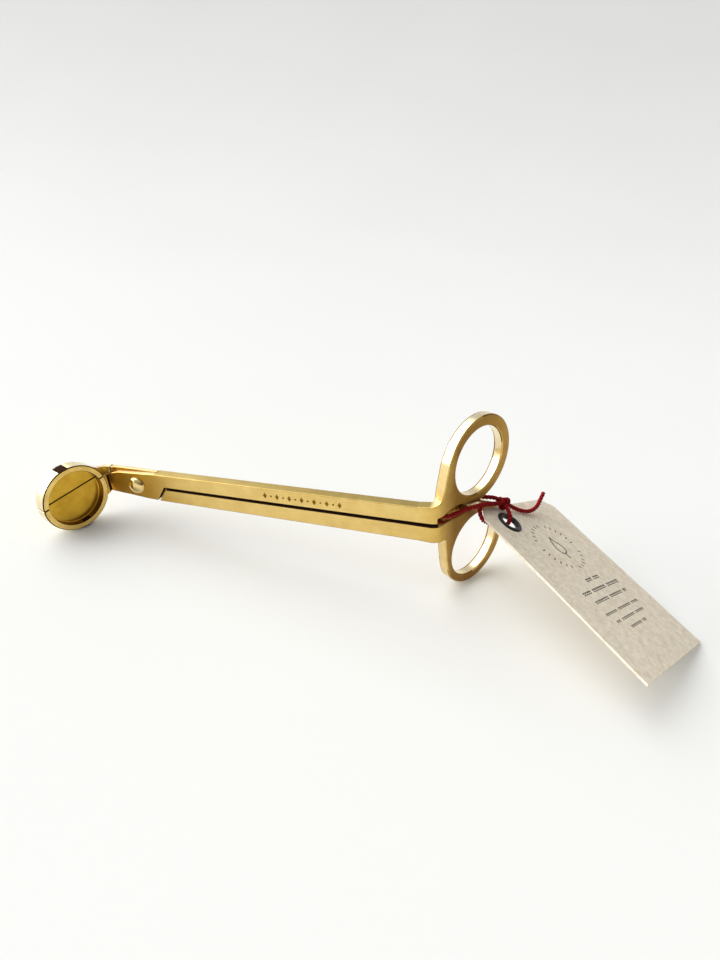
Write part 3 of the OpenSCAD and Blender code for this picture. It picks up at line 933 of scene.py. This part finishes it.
def half_pan(name, depth, keep_high, neck, low, high, body, node_name):
    """Half of the turned pan, cut along the shear line, with its bent neck."""
    obj = revolve(name, pan_profile(depth))
    gap = CUT_GAP if keep_high else -CUT_GAP
    normal = Vector((-CUT_SLOPE, 1, 0)).normalized()
    spot = Vector((0, CUT_RISE + gap, 0))
    with editing(obj) as bm:
        geometry = bm.verts[:] + bm.edges[:] + bm.faces[:]
        cut = bmesh.ops.bisect_plane(bm, geom=geometry, plane_co=spot, plane_no=normal,
                                     clear_inner=keep_high, clear_outer=not keep_high)
        rim = [e for e in cut["geom_cut"] if isinstance(e, bmesh.types.BMEdge)]
        bmesh.ops.contextual_create(bm, geom=rim)
    for vertex in obj.data.vertices:
        vertex.co = pan_plane(PAN_REACH - vertex.co.x, vertex.co.y, vertex.co.z)
    strap = prism(name + "_neck", neck, low, high)
    slice_across(strap, [NECK_START - NECK_ARC * k / BEND_STEPS for k in range(BEND_STEPS + 1)], "x")
    carry(strap, neck_point)
    for part in (obj, strap):
        for vertex in part.data.vertices:
            vertex.co = vertex.co / MM
        turn_out(part)
    hollow = prism("hollow", arc(0, 0, PAN_INNER + 0.35, 0, 360)[:-1], -12, 12)
    carry(hollow, lambda x, y, z: pan_plane(PAN_REACH - x, y, z) / MM)
    combine(strap, hollow, "DIFFERENCE")
    combine(obj, strap, "UNION")
    soften(obj, 0.16, None, 2, 30)
    centre = pan_plane(PAN_REACH, 0, 0)
    across_mm = (pan_plane(1, 0, 0) - pan_plane(0, 0, 0)) / MM

    def grain(point):
        away = point - centre / MM
        height, side = away.dot(UP), away.dot(across_mm)
        return (atan2(height, side) * 9, hypot(height, side))

    grain_map(obj, grain)
    for vertex in obj.data.vertices:
        vertex.co = vertex.co * MM
    out = (pan_plane(0, 0, 1) - pan_plane(0, 0, 0)).normalized()
    across = (pan_plane(1, 0, 0) - pan_plane(0, 0, 0)).normalized()
    fold = shaft(NECK_START, 0, NECK_INNER)
    floor = PAN_PROUD - depth

    def pan_brass(face):
        """Painted deep shade on the cut, in the fold and along the rim's edges; painted shade in the
        well; a pale painted highlight on the outer wall.
        """
        from_fold, from_centre = face.center - fold, face.center - centre
        on_cut = abs((UP + across * CUT_SLOPE).normalized().dot(face.normal)) > 0.99
        in_fold = hypot(from_fold.dot(ALONG), from_fold.dot(FRONT)) < (NECK_INNER + 0.2) * MM
        height, reach = from_centre.dot(out) / MM, from_centre.length / MM
        outer_line = reach > PAN_RADIUS - 0.5 and 1.5 < height < 1.87
        inner_line = reach < PAN_INNER + 0.27 and 1.6 < height < 1.87
        steep = abs(out.dot(face.normal)) < 0.6
        # Painted deep shade on the cut, in the fold and as dark lines along the rim's edges.
        if on_cut or in_fold or outer_line or inner_line:
            return BRASS_PAINTED_DEEP_SHADE
        # Painted highlight on the pan's outer wall.
        if steep and reach > PAN_RADIUS - 0.6:
            return BRASS_PAINTED_HIGHLIGHT
        # Painted shade on the inside wall of the well.
        if reach < PAN_INNER + 0.3 and height > 0.3 + floor and not face.normal.dot(out) > 0.999:
            return BRASS_PAINTED_SHADE
        # The pan's face gets the darker brass as painted shade; the rim and steep faces get the paler
        # one.
        return BRASS_RIM if steep or height > 1.5 else BRASS_PAN

    paint(obj, PAN_BRASS, pan_brass)
    return finish_piece(obj, body, PAN_BRASS, [node_name])


tray_neck = [(NECK_START + 0.02, -4.4), (NECK_START + 0.02, 3.2), (NECK_END, 3.3),
             (NECK_END - 2.2, 3.5), (NECK_END - 5.5, 3.4), (NECK_END - 5.5, -8.6),
             (NECK_END - 4.2, -8), (NECK_END - 2, -6)]
blade_neck = [(NECK_START + 0.02, 2.4), (NECK_START + 0.02, 6.0), (NECK_END - 1.8, 6.8),
              (NECK_END - 4, 8.4), (NECK_END - 5.5, 9.0), (NECK_END - 4, 4.8),
              (NECK_END - 1.4, 4.8), (NECK_END - 1.0, 2.4)]
half_pan("tray_half", 3.2, False, tray_neck, -LAP, 0, "upper_half", "tray_half_pan")
half_pan("blade_half", 3.1, True, blade_neck, -PLATE, LAP - PLATE, "lower_half", "blade_half_pan")


# ---------------------------------------------------------------------------------------------
# Rivet
# ---------------------------------------------------------------------------------------------
def make_rivet():
    """Domed head with a turned foot, and a peened tail at the back."""
    dome_turns = [radians(d) for d in range(90, 5, -7)]
    tail_turns = [radians(d) for d in range(6, 88, 9)]
    profile = [(0, -PLATE - 0.66)]
    profile += [(3.4 * sin(a), -PLATE - 0.06 - 0.6 * cos(a)) for a in tail_turns]
    profile += [(3.4, -PLATE + 0.02), (2.45, -PLATE + 0.1), (2.45, 0.02)]
    profile += [(3.65, 0.05), (3.7, 0.2), (3.66, 0.4)]
    profile += [(3.55 * sin(a), 0.45 + 1.55 * cos(a)) for a in dome_turns]
    profile += [(0, 2.0)]
    obj = revolve("rivet", profile, 72)
    for vertex in obj.data.vertices:
        if vertex.co.z < -PLATE:
            hammered = noise.noise(vertex.co * 1.4 + Vector((3, 1, 0)))
            vertex.co.x *= 1 + 0.03 * hammered
            vertex.co.y *= 1 + 0.03 * hammered
    grain_map(obj, lambda p: (atan2(p.y, p.x) * 3, hypot(p.x, p.y)))
    carry(obj, shaft)
    return finish_piece(obj, "lower_half", [BRASS_RIVET], ["pivot_rivet"])


make_rivet()


# ---------------------------------------------------------------------------------------------
# Tag
# ---------------------------------------------------------------------------------------------
def curled(x, y, z):
    """A point of the flat card, on the slightly curled one. The eyelet's corner stays flat."""
    away = min(1.0, max(0.0, (EYELET_AT[1] - EYELET_RADIUS - y) / 60))
    arch = 0.9 * away * sin(pi * min(1.0, max(0.0, x / TAG_WIDTH)))
    ripple = 0.12 * noise.noise(Vector((x * 0.08, y * 0.08, 5.0))) * away
    return tag_plane(x, y, z + arch + ripple)


def curl(obj):
    """Cuts a flat piece of the card into small fields and lays them on the curled one."""
    slice_across(obj, [TAG_WIDTH * k / CARD_COLUMNS for k in range(1, CARD_COLUMNS)], "x")
    slice_across(obj, [TAG_LENGTH * k / CARD_ROWS for k in range(1, CARD_ROWS)], "y")
    carry(obj, curled)


def card_outline():
    """A cut card with clipped top corners, whose edges are a little ragged."""
    corners = [(0, 0), (TAG_WIDTH, 0), (TAG_WIDTH, TAG_LENGTH - CARD_CLIP),
               (TAG_WIDTH - CARD_CLIP, TAG_LENGTH), (CARD_CLIP, TAG_LENGTH),
               (0, TAG_LENGTH - CARD_CLIP)]
    outline = []
    for i, corner in enumerate(corners):
        start, end = Vector(corner), Vector(corners[(i + 1) % len(corners)])
        steps = ceil((end - start).length / 0.8)
        inward = (end - start).normalized().orthogonal()
        for k in range(steps):
            spot = start + (end - start) * k / steps
            ragged = 0.1 + 0.1 * noise.noise(Vector((spot.x * 1.3, spot.y * 1.3, 2.0)))
            outline.append(spot + inward * (ragged if k else 0.1))
    return outline


def make_card():
    """The card, with a hole for the eyelet's barrel."""
    obj = prism("tag_card_paper", card_outline(), 0, TAG_THICKNESS)
    hole = arc(*EYELET_AT, EYELET_HOLE + 0.7, 0, 360, 6)[:-1]
    combine(obj, prism("card_hole", hole, -1, 2), "DIFFERENCE")
    soften(obj, 0.12, None, 2, 50)
    curl(obj)
    return finish_piece(obj, "lower_half", [PAPER], ["tag_card"])


def stamp(corners):
    """A thin patch of ink on the card's printed face."""
    return prism("stamp", corners, TAG_THICKNESS - 0.05, TAG_THICKNESS + 0.03)


def bar(x, y, width, height, turn=0.0):
    """A straight patch of ink about (x, y)."""
    spin = Matrix.Rotation(turn, 2)
    half = ((-width, -height), (width, -height), (width, height), (-width, height))
    return stamp([Vector((x, y)) + spin @ Vector((a / 2, b / 2)) for a, b in half])


def make_print():
    """A ring of dashes round a plain flame, and ruled lines of dashes below it."""
    stamps = []
    x, y = PRINT_CENTRE
    for k in range(PRINT_DASHES):
        if k % 7 == 6:
            continue
        a = tau * k / PRINT_DASHES
        stamps.append(bar(x + PRINT_RING * cos(a), y + PRINT_RING * sin(a), 1.5, 0.45, a))
    flame = [(0, -4.2), (1.8, -3.4), (2.5, -1.4), (1.9, 1.0), (0.6, 3.2), (0.2, 5.0),
             (-1.2, 3.0), (-2.2, 0.8), (-2.5, -1.6), (-1.7, -3.5)]
    for a, b in zip(flame, flame[1:] + flame[:1]):
        start, end = Vector(a), Vector(b)
        middle = (start + end) / 2
        turn = atan2(end.y - start.y, end.x - start.x)
        stamps.append(bar(x + middle.x, y + middle.y, (end - start).length + 0.2, 0.5, turn))
    stamps.append(bar(x, y - 5.6, 0.6, 2.2))
    rows = [(40.2, 12, 2.0), (35.6, 32, 2.0), (31, 30, 1.7), (25.4, 30, 1.3), (21.6, 26, 1.3),
            (17.8, 14, 1.3)]
    for row_y, width, height in rows:
        count = int(width / PRINT_STEP)
        for k in range(count):
            if (k * 5 + int(row_y)) % 8 == 7:
                continue
            place = x + (k - (count - 1) / 2) * PRINT_STEP
            stamps.append(bar(place, row_y, 1.15, height * 0.32))
            stamps.append(bar(place, row_y - height * 0.45, 1.15, height * 0.2))
    obj = join("tag_print", stamps)
    curl(obj)
    return finish_piece(obj, "lower_half", [INK], weighted=False)


def make_eyelet():
    """Rolled rim at the front, barrel through the card and a splayed flange at the back."""
    middle = (EYELET_RADIUS + EYELET_HOLE) / 2
    half = (EYELET_RADIUS - EYELET_HOLE) / 2
    top = TAG_THICKNESS
    turns = [radians(d) for d in range(0, 181, 12)]
    front = [(middle + half * cos(a), top + 0.02 + 0.58 * sin(a)) for a in turns]
    inside = [(EYELET_HOLE, top - 0.3), (EYELET_HOLE, 0.1), (EYELET_HOLE + 0.15, -0.3),
              (EYELET_HOLE + 0.6, -0.48)]
    back = [(EYELET_RADIUS - 1.2, -0.48), (EYELET_RADIUS - 0.85, -0.35),
            (EYELET_RADIUS - 0.85, -0.02), (EYELET_HOLE + 0.7, 0.0), (EYELET_HOLE + 0.7, top)]
    obj = ring_solid("eyelet_metal_ring", front + inside + back, 96)
    carry(obj, lambda x, y, z: tag_plane(x + EYELET_AT[0], y + EYELET_AT[1], z))
    return finish_piece(obj, "lower_half", [LACQUER], ["tag_eyelet"])


make_card()
make_print()
make_eyelet()


# ---------------------------------------------------------------------------------------------
# Studio
# ---------------------------------------------------------------------------------------------
def make_sweep():
    """A floor that curves up into a wall well behind the object."""
    start, bend, half_width = 0.55, 1.3, 4.0
    profile = [(-3.0, 0), (-1.2, 0), (0, 0), (start, 0)]
    turns = [radians(d) for d in range(3, 73, 3)]
    profile += [(start + bend * sin(a), bend - bend * cos(a)) for a in turns]
    points = [(x, y, z - 0.00005) for y, z in profile for x in (-half_width, half_width)]
    faces = [[2 * i, 2 * i + 1, 2 * i + 3, 2 * i + 2] for i in range(len(profile) - 1)]
    obj = mesh_object("floor_sweep", points, faces)
    obj.data.polygons.foreach_set("use_smooth", [True] * len(faces))
    obj.data.materials.append(seamless("floor_paper"))


def make_lights():
    """A pale room, lit by a high window on the left and a low one in front of it."""
    world = bpy.data.worlds.new("studio")
    bpy.context.scene.world = world
    world.use_nodes = True
    tree = world.node_tree
    facing = node(tree, "ShaderNodeTexCoord").outputs["Generated"]

    def towards(direction):
        """How nearly a ray looks in a direction: 1 straight at it, -1 straight away."""
        dot = {"operation": "DOT_PRODUCT"}
        made = node(tree, "ShaderNodeVectorMath", dot, _0=facing, _1=direction.normalized())
        return made.outputs["Value"]

    def pane(direction, outer, inner, strength):
        """A soft round window in a direction."""
        smooth = {"interpolation_type": "SMOOTHSTEP"}
        made = node(tree, "ShaderNodeMapRange", smooth, _0=towards(direction), _1=outer, _2=inner,
                    _3=0.0, _4=strength)
        return made.outputs["Result"]

    high, low = Vector((-0.74, 0.16, 0.65)), Vector((-0.90, -0.38, 0.14))
    total = ranged(tree, towards(high), -0.6, 0.75, ROOM_DARK, ROOM_PALE)
    for light in (pane(high, 0.72, 0.95, HIGH_WINDOW), pane(low, 0.84, 0.97, LOW_WINDOW)):
        total = added(tree, total, light)
    fill(tree, tree.nodes["Background"], Strength=total, Color=(1.0, 1.0, 0.985, 1))
    bpy.context.scene.view_settings.view_transform = "Standard"


make_sweep()
make_lights()
